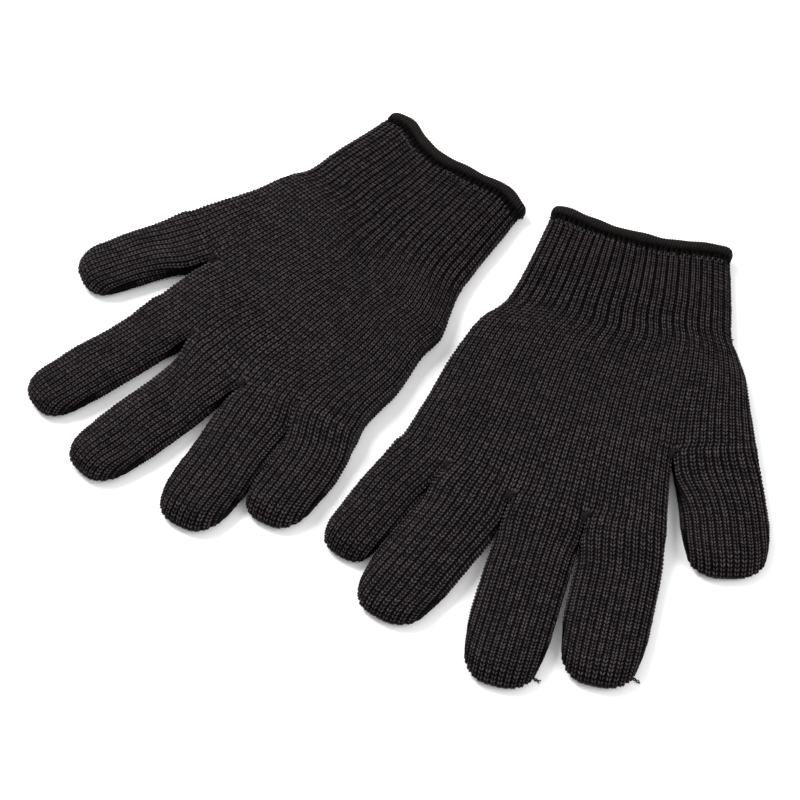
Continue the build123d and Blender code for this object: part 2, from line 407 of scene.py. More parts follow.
class Cloth:
    """A knit tube as a grid of points: rows along it, columns round it."""

    def __init__(
        self, glove, base, columns, course, seams, thin=None, rib=None, wall=None, course_offset=0
    ):
        self.glove = glove
        self.wale, self.under, self.number = columns
        self.course = course
        self.base = base
        self.course_offset = course_offset
        self.wall = np.full(base.shape[:2], KNIT_WALL) if wall is None else wall
        self.normal = self.find_normals(seams, base)
        self.outer, self.depth = self.raise_stitches(seams, thin, rib)
        self.shading = self.find_normals(seams, self.outer)

    def find_normals(self, seams, points):
        """Outward directions of the grid. At a seam they lie square to the glove's length."""
        wrapped = np.concatenate([points[:, -2:-1], points, points[:, 1:2]], axis=1)
        round_it = wrapped[:, 2:] - wrapped[:, :-2]
        along = np.gradient(points, axis=0)
        for row in seams:
            along[row] = (0.0, 1.0, 0.0)
        normal = np.cross(round_it, along)
        size = np.linalg.norm(normal, axis=2, keepdims=True)
        upright = np.where(self.under, -1.0, 1.0)[None, :, None] * np.array([0.0, 0.0, 1.0])
        return np.where(size > 1e-7, normal / np.maximum(size, 1e-7), upright)

    def raise_stitches(self, seams, thin, rib):
        """The outside face with its stitches, and how raised each point is, times any painted shade,
        which the material turns into painted shade in the hollows and a painted highlight on the
        raised yarn.
        Each stitch's two legs slant toward its middle, except close to a seam."""
        rows = len(self.course)
        rng = np.random.default_rng(self.glove.seed + int(self.course_offset))
        legs = leg_height(self.number)[None, :]
        bumps = row_height(self.course)[:, None]
        bumps[seams] = 0.5
        stitch = np.floor(self.course + TINY).astype(int)
        column = np.floor(self.number + TINY).astype(int)
        vary = rng.uniform(0.8, 1.08, (stitch.max() + 1, column.max() + 1))
        relief = legs * bumps * vary[stitch][:, column]
        spacing = np.linalg.norm(np.gradient(self.base, axis=0), axis=2) * ROWS_PER_COURSE
        relief = relief * np.clip(spacing / FULL_SPACING, 0.0, 1.0)
        if thin is not None:
            relief = relief * thin
        depth = relief.copy()
        height = relief * RELIEF
        # rib[1] is painted shade, of the rib valleys and of the band next to the hem roll, multiplied
        # into depth.
        if rib is not None:
            height = height + rib[0]
            depth = depth * rib[1]
        inside = self.number - np.floor(self.number + TINY)
        shift = CHEVRON * ROWS_PER_COURSE * (0.5 - np.abs(inside - 0.5) - 0.25)
        row = np.arange(rows, dtype=float)
        hold = np.ones(rows)
        for seam in seams:
            hold = np.minimum(hold, np.clip(np.abs(row - seam) / 1.5, 0.0, 1.0))
        at = np.clip(row[:, None] + shift[None, :] * hold[:, None], 0, rows - 1)
        low = np.floor(at).astype(int)
        low = np.minimum(low, rows - 2)
        part = (at - low)[..., None]
        pick = np.arange(self.base.shape[1])[None, :]
        place = self.base[low, pick] * (1 - part) + self.base[low + 1, pick] * part
        normal = self.normal[low, pick] * (1 - part) + self.normal[low + 1, pick] * part
        outer = place + normal * height[..., None]
        outer[..., 2] = np.maximum(outer[..., 2], LOWEST)
        return outer, depth

    def inner(self):
        """The inside face, one point to a stitch."""
        sharp = np.abs(self.number - np.round(self.number)) < TINY
        rows = np.arange(0, len(self.course), ROWS_PER_COURSE)
        picked = np.nonzero(sharp)[0]
        inside = self.base - self.normal * self.wall[..., None]
        return inside[np.ix_(rows, picked)], rows, picked


class Shell:
    """Collects points and polygons, welds what coincides, and makes one mesh object."""

    def __init__(self, glove):
        self.glove = glove
        self.points = []
        self.notes = []
        self.normals = []
        self.quads = []
        self.others = []
        self.count = 0

    def add(self, points, u, v, depth, normal=None):
        """Adds points with their stitch coordinates and depth, the value that sets their painted shade
        and painted highlight, and gives their numbers.
        Points without a normal of their own are shaded by their faces."""
        shape = points.shape[:-1]
        total = int(np.prod(shape))
        self.points.append(points.reshape(-1, 3))
        note = np.stack([np.broadcast_to(part, shape).reshape(-1) for part in (u, v, depth)], axis=1)
        self.notes.append(note)
        self.normals.append(np.zeros((total, 3)) if normal is None else normal.reshape(-1, 3))
        numbers = np.arange(self.count, self.count + total).reshape(shape)
        self.count += total
        return numbers

    def grid(self, numbers, inward=False):
        """Quads over a grid of point numbers."""
        quads = np.stack(
            [numbers[:-1, :-1], numbers[:-1, 1:], numbers[1:, 1:], numbers[1:, :-1]], axis=-1
        ).reshape(-1, 4)
        self.quads.append(quads[:, ::-1] if inward else quads)

    def cloth(self, cloth, first, last, rims=(None, None), tip=False):
        """The rows first to last of a cloth, outside and inside. A rim is a test of wale
        position that says where that end is closed between the two faces."""
        rows = slice(first, last + 1)
        outer = self.add(
            cloth.outer[rows], cloth.number[None, :], (cloth.course + cloth.course_offset)[rows, None],
            cloth.depth[rows], cloth.shading[rows],
        )
        self.grid(outer)
        inner_points, inner_rows, picked = cloth.inner()
        inner_last = last - ROWS_PER_COURSE if tip else last
        keep = (inner_rows >= first) & (inner_rows <= inner_last)
        # The inside face gets depth 0, the darkest painted shade.
        inner = self.add(
            inner_points[keep], cloth.number[None, picked],
            (cloth.course + cloth.course_offset)[inner_rows[keep], None], np.zeros((1, 1)),
        )
        self.grid(inner, inward=True)
        for end, test in enumerate(rims):
            if test is None:
                continue
            rim_outer = outer[-end]
            rim_inner = inner[-end]
            for number in range(len(picked) - 1):
                left, right = picked[number], picked[number + 1]
                if not test(cloth.wale[left]) or not test(cloth.wale[right]):
                    continue
                edge = list(rim_outer[left:right + 1])
                back = [rim_inner[number + 1], rim_inner[number]]
                loop = edge + back
                self.others.append(loop[::-1] if end == 0 else loop)
        if tip:
            self.close_tip(outer[-1], cloth, picked)

    def close_tip(self, ring, cloth, picked):
        """Joins the top and the underside at a fingertip, one polygon to a wale."""
        top = [column for column in picked if not cloth.under[column]]
        below = [top[-1]] + [column for column in picked if cloth.under[column]]
        below = below[::-1]
        for number in range(len(top) - 1):
            upper = list(ring[top[number]:top[number + 1] + 1])
            lower = list(ring[below[number + 1]:below[number] + 1])
            self.others.append(upper + lower)

    def tube(self, path, radius, sides=YARN_SIDES, closed=False):
        """A round yarn along a path of points."""
        path = np.asarray(path, float)
        if closed:
            along = np.roll(path, -1, axis=0) - np.roll(path, 1, axis=0)
        else:
            along = np.gradient(path, axis=0)
        along /= np.maximum(np.linalg.norm(along, axis=1, keepdims=True), 1e-9)
        side = np.cross(along, (0.0, 0.0, 1.0))
        side /= np.maximum(np.linalg.norm(side, axis=1, keepdims=True), 1e-9)
        up = np.cross(side, along)
        radius = np.broadcast_to(np.asarray(radius, float), (len(path),))
        turn = np.arange(sides + 1) / sides * 2 * math.pi
        ring = (
            side[:, None] * np.cos(turn)[None, :, None]
            + up[:, None] * np.sin(turn)[None, :, None]
        )
        points = path[:, None] + ring * radius[:, None, None]
        v = np.arange(len(path))[:, None] * 0.35
        # Painted shade on the underside of each yarn.
        lit = 0.35 + 0.65 * (np.sin(turn) > -0.2)
        numbers = self.add(points, turn[None, :] / math.pi, v, lit[None, :])
        if closed:
            numbers = np.concatenate([numbers, numbers[:1]])
            self.grid(numbers)
            return
        self.grid(numbers)
        self.others.append(list(numbers[0, :-1]))
        self.others.append(list(numbers[-1, :-1][::-1]))

    def make(self, name, material):
        """The finished object, in the row frame."""
        points = np.concatenate(self.points)
        notes = np.concatenate(self.notes)
        rounded = np.round(points, 3)
        _, first, welded = np.unique(rounded, axis=0, return_index=True, return_inverse=True)
        welded = welded.reshape(-1)
        quads = np.concatenate(self.quads)
        corners = welded[quads]
        ordered = np.sort(corners, axis=1)
        whole = (np.diff(ordered, axis=1) > 0).all(axis=1)
        loops = [quads[whole].reshape(-1)]
        totals = [np.full(int(whole.sum()), 4)]
        extra = []
        for polygon in [list(quad) for quad in quads[~whole]] + self.others:
            kept = []
            seen = set()
            for number in polygon:
                if welded[number] in seen:
                    continue
                seen.add(welded[number])
                kept.append(number)
            if len(kept) >= 3:
                extra.append(kept)
        loops.append(np.array([number for polygon in extra for number in polygon], int))
        totals.append(np.array([len(polygon) for polygon in extra], int))
        loops = np.concatenate(loops)
        totals = np.concatenate(totals)
        starts = np.concatenate([[0], np.cumsum(totals)[:-1]])
        if self.glove.side < 0:
            place = np.arange(len(loops)) - np.repeat(starts, totals)
            loops = loops[np.repeat(starts + totals - 1, totals) - place]
        mesh = bpy.data.meshes.new(name)
        mesh.vertices.add(len(first))
        mesh.vertices.foreach_set("co", self.glove.world(points[first]).reshape(-1))
        mesh.loops.add(len(loops))
        mesh.loops.foreach_set("vertex_index", welded[loops].astype(np.int32))
        mesh.polygons.add(len(totals))
        mesh.polygons.foreach_set("loop_start", starts.astype(np.int32))
        mesh.polygons.foreach_set("use_smooth", np.ones(len(totals), bool))
        stitches = mesh.uv_layers.new(name="stitches")
        stitches.data.foreach_set("uv", notes[loops, :2].astype(np.float32).reshape(-1))
        # The depth attribute sets the painted shade and painted highlight of the base colour.
        depth = mesh.attributes.new("depth", "FLOAT", "POINT")
        depth.data.foreach_set("value", notes[first, 2].astype(np.float32))
        mesh.update(calc_edges=True)
        mesh.validate()
        normals = np.concatenate(self.normals)[first]
        if normals.any():
            across = normals[:, :1] * np.append(self.glove.across, 0)
            turned = across + normals[:, 1:2] * np.append(self.glove.ahead, 0)
            turned[:, 2] = normals[:, 2]
            mesh.normals_split_custom_set_from_vertices(turned.astype(np.float32))
        mesh.materials.append(material)
        piece = bpy.data.objects.new(name, mesh)
        bpy.context.scene.collection.objects.link(piece)
        return piece


def body_cloth(glove):
    """Cuff and lower palm, from the hem to the row where the thumb leaves."""
    plan = glove.plan
    (crotch_x, crotch_y), (thumb_x, thumb_y) = plan["thumb_row"]
    cuff_courses = round((CUFF_END - HEM_ROW) / CUFF_COURSE)
    palm_courses = round((crotch_y - CUFF_END) / PALM_COURSE)
    columns = knit_columns(0, BODY_WALES, "body")
    wale, under, _ = columns
    all_courses = cuff_courses + palm_courses
    course = np.arange(all_courses * ROWS_PER_COURSE + 1) / ROWS_PER_COURSE
    reach = np.interp(course, [0, cuff_courses, all_courses], [HEM_ROW, CUFF_END, crotch_y])
    little_end = edge_at(plan["little_edge"], crotch_y - plan["little_drop"])
    crotch_share = (crotch_x - little_end) / (thumb_x - little_end)
    base = np.empty((len(course), len(wale), 3))
    rib = np.empty((len(course), len(wale)))
    shade = np.empty((len(course), len(wale)))
    inside = wale - 3 * np.floor(wale / 3 + TINY)
    shape_at = [0, 0.3, 0.7, 1, 1.3, 1.7, 2, 2.5, 3]
    rib_shape = np.interp(inside, shape_at, [-0.3, 0.2, 0.2, -0.3, 0.2, 0.2, -0.3, -1.0, -0.3])
    # Painted shade in the rib valleys and in the groove between the two wide wales, multiplied into
    # depth.
    shade_at = [0, 0.2, 0.8, 1, 1.2, 1.8, 2, 2.5, 3]
    rib_shade = np.interp(inside, shade_at, [0.95, 1, 1, 0.75, 1, 1, 0.95, 0.5, 0.95])
    rib_fade = RIB_FADE + RIB_FADE_MORE * np.exp(-((wale - RIB_LONGEST) / RIB_FADE_WALES) ** 2)
    spread = np.interp(wale, [0, HAND_WALES, BODY_WALES], [0.0, crotch_share, 1.0])
    sag_x = [point[0] for point in plan["sag"]]
    sag_y = [point[1] for point in plan["sag"]]
    for row, y in enumerate(reach):
        slant = max(0.0, (y - CUFF_END) / (crotch_y - CUFF_END))
        thumb_drop = (crotch_y - thumb_y) * slant
        little_drop = plan["little_drop"] * slant
        low = edge_at(plan["little_edge"], y - little_drop)
        high = edge_at(plan["thumb_edge"], y - thumb_drop)
        fork = low + crotch_share * (high - low)
        thick = np.interp(y, [HEM_ROW, CUFF_END, HEEL_END], [CUFF_THICK, WRIST_THICK, PALM_THICK])
        ribbed = 1 - ease((y - RIB_END) / rib_fade)
        laid = rib_layout(wale, ribbed)
        toward = float(ease((y - CUFF_END) / (crotch_y - CUFF_END)))
        one_x, one_z = lobes(laid, under, [(0, low, y), (BODY_WALES, high, y)], thick, toward, spread)
        forked = [(0, low, y - little_drop), (HAND_WALES, fork, y), (BODY_WALES, high, y - thumb_drop)]
        two_x, two_z = lobes(wale, under, forked, thick, 1.0)
        opening = float(ease((y - crotch_y + FORK_LENGTH) / FORK_LENGTH)) ** 2
        x = one_x + (two_x - one_x) * opening
        z = one_z + (two_z - one_z) * opening
        droop = np.interp(x, [low, fork, high], [little_drop, 0.0, thumb_drop])
        sag = curve_through(sag_x, sag_y, np.clip(x, sag_x[0], sag_x[-1]))
        base[row, :, 0] = x
        base[row, :, 1] = y - droop + sag * (1 - float(ease(y / SAG_REACH)))
        base[row, :, 2] = z
        rib[row] = rib_shape * RIB_DEPTH * ribbed
        # Painted shade next to the hem roll (lit 0 is full shade) and the ribs' painted shade make up
        # shade.
        lit = ease((y - HEM_ROW - HEM_SHADE_DEPTH) / HEM_SHADE_FADE)
        shade[row] = (1 + (rib_shade - 1) * ribbed) * (1 - HEM_SHADE * (1 - lit))
    settle(glove, base)
    seams = [len(course) - 1]
    cloth = Cloth(glove, base, columns, course, seams, rib=(rib, shade))
    return cloth, cuff_courses * ROWS_PER_COURSE


def settle(glove, base):
    """Gentle hills and dents of worn-in cloth, kept off the table."""
    lift = unevenness(glove.puffs, base[..., 0], base[..., 1]) * CLOTH_WAVE
    share = np.clip((base[..., 2] - FLOOR_GAP) / PALM_THICK, 0.0, 1.0)
    base[..., 2] += lift * ease(share * 1.6)


def hand_cloth(glove):
    """The palm between the thumb's row and the fingers' row."""
    plan = glove.plan
    crotch_x, crotch_y = plan["thumb_row"][0]
    courses = plan["hand_courses"]
    columns = knit_columns(0, HAND_WALES, "body")
    wale, under, _ = columns
    course = np.arange(courses * ROWS_PER_COURSE + 1) / ROWS_PER_COURSE
    fork_x = np.array([point[0] for point in plan["finger_row"]])
    fork_y = np.array([point[1] for point in plan["finger_row"]])
    fork_wale = [0] + [FINGER_WALES[finger][1] for finger in FINGER_NAMES]
    low_start = crotch_y - plan["little_drop"]
    start_x = edge_at(plan["little_edge"], low_start)
    base = np.empty((len(course), len(wale), 3))
    for row, number_here in enumerate(course):
        part = number_here / courses
        low_y = low_start + (fork_y[0] - low_start) * part
        high_y = crotch_y + (fork_y[-1] - crotch_y) * part
        low = edge_at(plan["little_edge"], low_y)
        high = edge_at(plan["upper_edge"], high_y)
        knots_x = low + (fork_x - fork_x[0]) / (fork_x[-1] - fork_x[0]) * (high - low)
        before_y = np.interp(knots_x, [start_x, crotch_x], [low_start, crotch_y])
        knots_y = before_y + (fork_y - before_y) * part
        knots = list(zip(fork_wale, knots_x, knots_y))
        even = wale / HAND_WALES
        fanned = np.interp(wale, fork_wale, (knots_x - low) / (high - low))
        spread = even + (fanned - even) * float(ease(part))
        whole = [(0, low, low_y), (HAND_WALES, high, high_y)]
        one_x, one_z = lobes(wale, under, whole, PALM_THICK, 1.0, spread)
        many_x, many_z = lobes(wale, under, knots, PALM_THICK, 1.0)
        left = (courses - number_here) * PALM_COURSE
        opening = float(ease(1 - left / FORK_LENGTH)) ** 2
        x = one_x + (many_x - one_x) * opening
        base[row, :, 0] = x
        base[row, :, 1] = np.interp(x, knots_x, knots_y)
        base[row, :, 2] = one_z + (many_z - one_z) * opening
    settle(glove, base)
    seams = [0, len(course) - 1]
    return Cloth(glove, base, columns, course, seams, course_offset=HAND_COURSES_FROM)


def finger_cloth(glove, finger):
    """A finger or thumb tube from its row to its tip. Gives the cloth, how far along the
    tube its joints and its mesh rows are, where the tube starts and which way it runs."""
    plan = glove.plan
    thumb = finger == "thumb"
    rank = 0 if thumb else FINGER_NAMES.index(finger)
    fork_row = plan["thumb_row" if thumb else "finger_row"]
    low = np.array(fork_row[rank], float)
    high = np.array(fork_row[rank + 1], float)
    joints = [glove.joint(finger + "_knuckle")]
    if not thumb:
        joints.append(glove.joint(finger + "_middle_joint"))
    joints.append(glove.joint(finger + "_tip_joint"))
    knuckle = joints[0]
    ahead = joints[1] - knuckle
    ahead /= np.linalg.norm(ahead)
    aside = np.array([ahead[1], -ahead[0]])
    node = "thumb_tip" if thumb else finger + "_finger_tip"
    reach = float(((glove.node_points(node) - knuckle) @ ahead).max()) + plan["shape"][finger][2]
    middle = (low + high) / 2
    behind = float((middle - knuckle) @ ahead)
    length = reach - behind
    stops = [float((joint - knuckle) @ ahead) - behind for joint in joints]
    courses = round(FINGER_FULLNESS * length / FINGER_COURSE)
    first, last = THUMB_WALES if thumb else FINGER_WALES[finger]
    before, after = EXTRA_WALES[finger]
    wales = last - first + before + after
    columns = knit_columns(0, wales, "finger")
    wale, under, _ = columns
    course = np.arange(courses * ROWS_PER_COURSE + 1) / ROWS_PER_COURSE
    chord = high - low
    chord_half = float(np.linalg.norm(chord)) / 2
    chord_way = chord / (2 * chord_half)
    half, lean, _, bow = plan["shape"][finger]
    eases = THUMB_EASES if thumb else FINGER_EASES
    corners = plan["corners"][thumb]
    base = np.empty((len(course), len(wale), 3))
    thin = np.ones((len(course), len(wale)))
    wall = np.empty((len(course), len(wale)))
    extra = np.zeros(wales, bool)
    extra[:before] = True
    extra[wales - after:] = after > 0
    of_wale = np.clip(np.floor(wale - TINY * under).astype(int), 0, wales - 1)
    own = waves(glove.seed + len(finger), 5, 14.0, 34.0)
    tip_turn = np.linspace(0, math.pi / 2, 40)
    tip_high = FINGER_THICK * TOP_SHARE
    tip_step = np.hypot(np.diff(np.sin(tip_turn)) * TIP_CLOSE, np.diff(np.cos(tip_turn)) * tip_high)
    tip_arc = np.concatenate([[0.0], np.cumsum(tip_step)]) / tip_step.sum()
    part = course / courses
    near_tip = np.clip((part - TIP_FINER_FROM) / (1 - TIP_FINER_FROM), 0.0, 1.0)
    fine = part - TIP_FINER * near_tip ** 2
    stations = length * fine / fine[-1]
    for row, s in enumerate(stations):
        grown = float(ease(s / eases["grow"]))
        widths = np.where(extra, grown, 1.0)
        marks = np.concatenate([[0.0], np.cumsum(widths)]) / widths.sum()
        share = np.interp(wale, np.arange(wales + 1), marks)
        thin[row] = np.where(extra[of_wale], grown, 1.0)
        width = chord_half + (half - chord_half) * float(ease(s / eases["width"]))
        thick = PALM_THICK + (FINGER_THICK - PALM_THICK) * float(ease(s / THICK_EASE))
        across, up = oval(share, under, width, thick, 1 - float(ease(s / FORK_FADE)))
        rounding = TIP_ROUND * width / TIP_ROUND_WIDTH
        rounding = np.where(across > 0, corners[1], corners[0]) * rounding
        end = length - rounding * np.abs(2 * share - 1) ** TIP_POWER
        squeeze = np.clip((s - length + TIP_SQUEEZE) / TIP_SQUEEZE, 0, 1) ** 2
        thin[row] *= 1 - 0.5 * ease((np.abs(across) - 0.88) / 0.1) * float(ease((s - length + 22) / 8))
        place = s - (length - end) * squeeze
        left = np.clip((place - (end - TIP_CLOSE)) / TIP_CLOSE, 0.0, 1.0)
        left = np.interp(left, tip_arc, np.sin(tip_turn))
        place = np.where(left > 0, end - TIP_CLOSE + TIP_CLOSE * left, place)
        flat = np.sqrt(np.maximum(1 - left ** 2, 0.0)) * 0.97 + 0.03
        wall[row] = KNIT_WALL * np.sqrt(flat)
        inward = 1 - 0.08 * np.clip((place - end + rounding) / rounding, 0, 1) ** 2
        settled = ease(place / eases["line"])
        centre = knuckle + ahead * (behind + place)[:, None]
        centre += (middle - knuckle - ahead * behind) * (1 - settled)[:, None]
        way = chord_way + (aside - chord_way) * float(ease(s / TURN_EASE))
        way /= np.linalg.norm(way)
        leaning = lean * np.clip(place / length, 0, 1) ** 1.5
        leaning = leaning + bow * ease(s / BOW_EASE) * (1 - place / length)
        spot = centre + way * (across * width * inward)[:, None] + aside * leaning[:, None]
        base[row, :, :2] = spot
        base[row, :, 2] = middle_height(thick) * (1 - TIP_DROP * (1 - flat)) + up * flat
    settle(glove, base)
    wobble = unevenness(own, base[..., 0], base[..., 1]) * FINGER_WAVE * ease(course / 10)[:, None]
    base[..., 2] += wobble * np.clip((base[..., 2] - 3.0) / 6.0, 0, 1)
    offset = (THUMB_COURSES_FROM if thumb else FINGER_COURSES_FROM) + len(finger)
    cloth = Cloth(glove, base, columns, course, [0], thin, wall=wall, course_offset=offset)
    return cloth, stops, stations, knuckle + ahead * behind, ahead


def everywhere(wale):
    """The test of a rim that is closed all the way round."""
    return True


def body_name(glove, part):
    """The name of one of the glove's moving bodies."""
    return glove.name + "_" + part


def place_at(glove, x, y, z):
    """A place in the glove's frame, in the row frame."""
    point = glove.world(np.array([[x, y, z]]))[0]
    return Vector([float(value) for value in point])


def hem_shells(glove, cloth, knit, thread, elastic):
    """Turned hem with its stitches, and the elastic rings inside the cuff."""
    ring = cloth.base[0]
    normal = cloth.normal[0]
    wrapped = np.concatenate([[0.0], np.cumsum(np.linalg.norm(np.diff(ring, axis=0), axis=1))])
    around = np.arange(0, wrapped[-1], HEM_STEP)
    path = np.stack([np.interp(around, wrapped, ring[:, k]) for k in range(3)], axis=1)
    out = np.stack([np.interp(around, wrapped, normal[:, k]) for k in range(3)], axis=1)
    out[:, 1] = 0
    out /= np.linalg.norm(out, axis=1, keepdims=True)
    ahead = np.array([0.0, 1.0, 0.0])
    turn = np.arange(HEM_SIDES + 1) / HEM_SIDES * 2 * math.pi
    wound = np.arange(len(path))[:, None] * 2 * math.pi / 3 + 2 * turn[None, :]
    ridge = HEM_RIDGE * (1 + np.cos(wound)) / 2
    slow = unevenness(waves(glove.seed + 5, 5, 9.0, 30.0), around, around * 0)[:, None]
    centre = path + out * 0.05 - ahead * HEM_BACK
    thick = HEM_HALF_THICK + 0.12 * slow + ridge
    deep = HEM_HALF_DEPTH + 0.25 * slow + ridge
    points = centre[:, None] + out[:, None] * (np.cos(turn) * thick)[..., None]
    points = points + ahead * (np.sin(turn)[None, :] * deep)[..., None]
    points[..., 2] = np.maximum(points[..., 2], LOWEST)
    shell = Shell(glove)
    # Painted shade on the roll's fingertip side, and in the grooves between its windings, lighter on
    # the ridges.
    painted_side_shade = 1 - 0.45 * ease(np.sin(turn))[None, :]
    along = np.arange(len(path))[:, None] * 0.5
    numbers = shell.add(points, turn[None, :], along, (0.25 + ridge / HEM_RIDGE) * painted_side_shade)
    numbers = np.concatenate([numbers, numbers[:1]])
    shell.grid(numbers, inward=True)
    hem = shell.make(glove.name + "_hem_roll", knit)

    stitches = Shell(glove)
    rng = np.random.default_rng(glove.seed + 3)
    spots = np.arange(0, wrapped[-1], HEM_STITCH_PITCH)
    for spot in spots + rng.uniform(-0.5, 0.5, len(spots)):
        foot = np.array([np.interp(spot, wrapped, ring[:, k]) for k in range(3)])
        away = np.array([np.interp(spot, wrapped, normal[:, k]) for k in range(3)])
        away[1] = 0
        away /= np.linalg.norm(away)
        steps = np.linspace(-1, 1, 7)
        long = rng.uniform(0.55, 1.0)
        spread = ahead * (rng.uniform(5.3, 6.3) + steps * long)[:, None]
        path = foot + spread + away * (1.2 - 0.6 * steps ** 2)[:, None]
        path[:, 2] = np.maximum(path[:, 2], 0.6)
        stitches.tube(path, 0.45 * np.sqrt(1.02 - steps ** 2 * 0.9))
    sewn = stitches.make(glove.name + "_hem_stitches", thread)

    rings = Shell(glove)
    for number in range(RING_COUNT):
        y = RING_FIRST + number * RING_PITCH
        row = int(np.argmin(np.abs(cloth.base[:, len(cloth.wale) // 4, 1] - y)))
        loop = (cloth.base[row] - cloth.normal[row] * (KNIT_WALL + 0.35))[:-1:4]
        rings.tube(loop, 0.4, sides=5, closed=True)
    bands = rings.make(glove.name + "_elastic_rings", elastic)
    return hem, sewn, bands


def yarn_tail(shell, start, way, length, seed):
    """A loose end of two twisted plies that droops and frays a little."""
    rng = np.random.default_rng(seed)
    steps = np.linspace(0, 1, 26)
    way = np.array(way, float)
    way /= np.linalg.norm(way)
    side = np.array([-way[1], way[0], 0.0])
    bend = rng.uniform(-0.25, 0.25)
    spine = np.array(start) + way * (steps * length)[:, None]
    spine = spine + side * (bend * length * steps ** 2)[:, None]
    spine[:, 2] = start[2] + (0.65 - start[2]) * ease(steps * 1.6)
    for ply in range(2):
        angle = steps * length * 2.1 + ply * math.pi
        apart = 0.3 + 0.35 * steps ** 3
        path = spine + side * (np.cos(angle) * apart)[:, None]
        path[:, 2] += np.sin(angle) * 0.26
        shell.tube(path, 0.36 * (1.0 - 0.45 * steps))


def knot_shell(glove, name, material):
    """Short crossing yarns sewn over each crotch between the fingers."""
    shell = Shell(glove)
    rng = np.random.default_rng(glove.seed + 5)
    crotches = [glove.plan["thumb_row"][0]] + glove.plan["finger_row"][3:0:-1]
    for x, y in crotches:
        high = FLOOR_GAP + PALM_THICK - 1.2
        for number in range(5):
            heading = math.radians(35 + 28 * number + rng.uniform(-8, 8))
            steps = np.linspace(-1, 1, 11)
            reach = rng.uniform(1.8, 2.6)
            path = np.zeros((len(steps), 3))
            path[:, 0] = x + math.cos(heading) * steps * reach + rng.uniform(-0.3, 0.3)
            path[:, 1] = y - 0.4 + math.sin(heading) * steps * reach
            path[:, 2] = high + 0.8 - 1.6 * steps ** 2 + 0.12 * number
            shell.tube(path, 0.52)
    return shell.make(name, material)


def noise(tree, where, scale, detail):
    """Noise laid out over the stitches."""
    node = tree.nodes.new("ShaderNodeTexNoise")
    node.inputs["Scale"].default_value = scale
    node.inputs["Detail"].default_value = detail
    tree.links.new(where, node.inputs["Vector"])
    return node.outputs["Fac"]


def arithmetic(tree, operation, *terms):
    """The result of a Math node. Each term is a number or an output of another node."""
    node = tree.nodes.new("ShaderNodeMath")
    node.operation = operation
    for socket, term in zip(node.inputs, terms):
        if isinstance(term, float):
            socket.default_value = term
        else:
            tree.links.new(term, socket)
    return node.outputs["Value"]


def cloth_material(name, painted_shade_colour, yarn_and_highlight_colour, fibre_scale, roughness, sheen):
    """Fabric with painted shade in its hollows and a painted highlight on its raised stitches, both
    set by the depth attribute, with fine yarn fibres.
    """
    material = bpy.data.materials.new(name)
    material.use_nodes = True
    tree = material.node_tree
    nodes = tree.nodes
    links = tree.links
    nodes.clear()
    output = nodes.new("ShaderNodeOutputMaterial")
    shader = nodes.new("ShaderNodeBsdfPrincipled")
    links.new(shader.outputs["BSDF"], output.inputs["Surface"])
    shader.inputs["Roughness"].default_value = roughness
    shader.inputs["Sheen Weight"].default_value = sheen
    shader.inputs["Sheen Roughness"].default_value = 0.45
    shader.inputs["Sheen Tint"].default_value = (0.9, 0.92, 0.88, 1.0)
    shader.inputs["Specular IOR Level"].default_value = 0.03
    depth = nodes.new("ShaderNodeAttribute")
    depth.attribute_name = "depth"
    stitches = nodes.new("ShaderNodeUVMap")
    stitches.uv_map = "stitches"
    mottle = noise(tree, stitches.outputs["UV"], 1.3, 3.0)
    fibre = noise(tree, stitches.outputs["UV"], fibre_scale, 2.0)
    lighten = arithmetic(tree, "MULTIPLY_ADD", mottle, 0.7, -0.35)
    total = arithmetic(tree, "ADD", depth.outputs["Fac"], lighten)
    flecks = arithmetic(tree, "MULTIPLY_ADD", fibre, 0.8, total)
    scaled = arithmetic(tree, "MULTIPLY", flecks, 0.6)
    # The ramp runs from painted shade in the hollows to the yarn's colour with a painted highlight on
    # the raised stitches.
    ramp = nodes.new("ShaderNodeValToRGB")
    ramp.color_ramp.elements[0].position = 0.5
    ramp.color_ramp.elements[0].color = (*painted_shade_colour, 1.0)
    ramp.color_ramp.elements[1].position = 0.92
    ramp.color_ramp.elements[1].color = (*yarn_and_highlight_colour, 1.0)
    links.new(scaled, ramp.inputs["Fac"])
    links.new(ramp.outputs["Color"], shader.inputs["Base Color"])
    bump = nodes.new("ShaderNodeBump")
    bump.inputs["Strength"].default_value = 0.5
    bump.inputs["Distance"].default_value = 0.0002
    links.new(fibre, bump.inputs["Height"])
    links.new(bump.outputs["Normal"], shader.inputs["Normal"])
    return material


# Each: name, painted shade colour of the hollows, yarn colour with its painted highlight, fibre scale,
# roughness, sheen.
knit_material = cloth_material(
    "black_knit", (0.0005, 0.0004, 0.0004), (0.083, 0.0655, 0.0705), 7.0, 0.5, 0.0
)
hem_material = cloth_material(
    "hem_yarn", (0.001, 0.0008, 0.0007), (0.0165, 0.014, 0.0128), 6.0, 0.6, 0.0
)
thread_material = cloth_material(
    "sewing_thread", (0.004, 0.004, 0.004), (0.04, 0.037, 0.038), 5.0, 0.5, 0.0
)
knot_material = cloth_material(
    "knot_yarn", (0.001, 0.0009, 0.0009), (0.011, 0.0095, 0.01), 6.0, 0.6, 0.0
)
elastic_material = cloth_material(
    "elastic_yarn", (0.01, 0.01, 0.01), (0.05, 0.05, 0.05), 5.0, 0.55, 0.1
)
tail_material = cloth_material(
    "loose_yarn", (0.002, 0.002, 0.002), (0.014, 0.013, 0.013), 6.0, 0.65, 0.0
)


